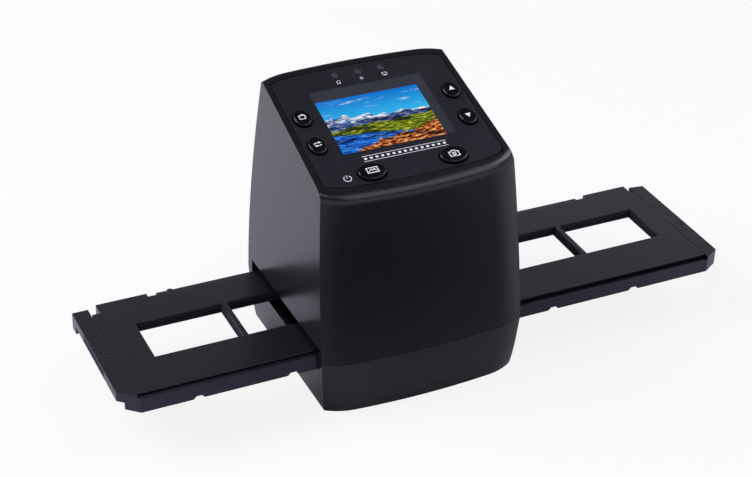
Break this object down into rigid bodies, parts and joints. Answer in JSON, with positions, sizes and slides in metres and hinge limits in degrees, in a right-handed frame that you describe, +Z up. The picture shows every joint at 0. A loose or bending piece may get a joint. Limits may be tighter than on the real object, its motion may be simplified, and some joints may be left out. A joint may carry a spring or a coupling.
{
  "type": "film negative scanner",
  "caption": "Desktop film scanner: tall rounded casing with sloping display panel and keys, and a hinged film holder that slides sideways through a slot at its base.",
  "frame": {"origin": "on the desk, in the middle of the casing's width and on the optical axis, at the base's underside", "axes": "+X along the film holder to the right, +Y to the rear, +Z up"},
  "size_m": [0.2627, 0.0855, 0.1117],
  "materials": {
    "casing": "satin moulded ABS",
    "panel": "fine matt moulded ABS",
    "holder": "satin moulded ABS",
    "key": "polished ABS",
    "plunger": "moulded",
    "foot_pad": "matt",
    "display_window": "smoked, polished",
    "display": "glass-faced module",
    "black_plastic": "matt black",
    "circuit_board": "solder mask",
    "chip": "moulded package",
    "steel": "plated",
    "white_plastic": "opal white",
    "led": "clear over phosphor",
    "light_guide": "translucent grey",
    "lens_glass": "coated",
    "filter_glass": "coated",
    "flat_cable": "polyester film",
    "lead": "pvc insulation"
  },
  "bodies": {
    "scanner": {"base_shell": "casing", "upper_housing": "casing", "top_panel": "panel", "rubber_feet": "foot_pad", "display_window": "display_window", "display_module": "display", "display_frame": "black_plastic", "film_gate": "black_plastic", "gate_cover": "black_plastic", "optics_hood": "black_plastic", "lens_barrel": "black_plastic", "sensor_mount": "black_plastic", "key_board": "circuit_board", "backlight_board": "circuit_board", "sensor_board": "circuit_board", "main_board": "circuit_board", "processor_chip": "chip", "memory_chips": "chip", "image_sensor": "chip", "tact_switches": "chip", "case_screws": "steel", "panel_screws": "steel", "spring_screw": "steel", "backlight_screws": "steel", "hood_screws": "steel", "board_screws": "steel", "detent_spring": "steel", "card_socket": "steel", "usb_socket": "steel", "diffuser": "white_plastic", "light_box": "white_plastic", "ribbon_connectors": "white_plastic", "lead_connectors": "white_plastic", "status_leds": "led", "backlight_leds": "led", "led_windows": "light_guide", "lens_elements": "lens_glass", "ir_filter": "filter_glass", "display_ribbon": "flat_cable", "sensor_ribbon": "flat_cable", "backlight_lead": "lead"},
    "holder": {"holder_frame": "holder", "holder_cover": "holder", "hinge_pins": "steel"},
    "mode_key": {"mode_button": "key", "mode_plunger": "plunger"},
    "flip_key": {"flip_button": "key", "flip_plunger": "plunger"},
    "up_key": {"up_button": "key", "up_plunger": "plunger"},
    "down_key": {"down_button": "key", "down_plunger": "plunger"},
    "power_key": {"power_button": "key", "power_plunger": "plunger"},
    "capture_key": {"capture_button": "key", "capture_plunger": "plunger"}
  },
  "joints": [
    {"name": "holder_slide", "type": "slide", "parent": "scanner", "child": "holder", "axis": [1, 0, 0], "range_m": [-0.1071, 0.0829]},
    {"name": "mode_press", "type": "slide", "parent": "scanner", "child": "mode_key", "axis": [0, 0.2829, -0.9591], "range_m": [0, 0.0008], "stiffness_N_per_m": 500, "springref_m": -0.0006},
    {"name": "flip_press", "type": "slide", "parent": "scanner", "child": "flip_key", "axis": [0, 0.2829, -0.9591], "range_m": [0, 0.0008], "stiffness_N_per_m": 500, "springref_m": -0.0006},
    {"name": "up_press", "type": "slide", "parent": "scanner", "child": "up_key", "axis": [0, 0.2829, -0.9591], "range_m": [0, 0.0008], "stiffness_N_per_m": 500, "springref_m": -0.0006},
    {"name": "down_press", "type": "slide", "parent": "scanner", "child": "down_key", "axis": [0, 0.2829, -0.9591], "range_m": [0, 0.0008], "stiffness_N_per_m": 500, "springref_m": -0.0006},
    {"name": "power_press", "type": "slide", "parent": "scanner", "child": "power_key", "axis": [0, 0.2829, -0.9591], "range_m": [0, 0.0008], "stiffness_N_per_m": 500, "springref_m": -0.0006},
    {"name": "capture_press", "type": "slide", "parent": "scanner", "child": "capture_key", "axis": [0, 0.2829, -0.9591], "range_m": [0, 0.0008], "stiffness_N_per_m": 500, "springref_m": -0.0006}
  ]
}
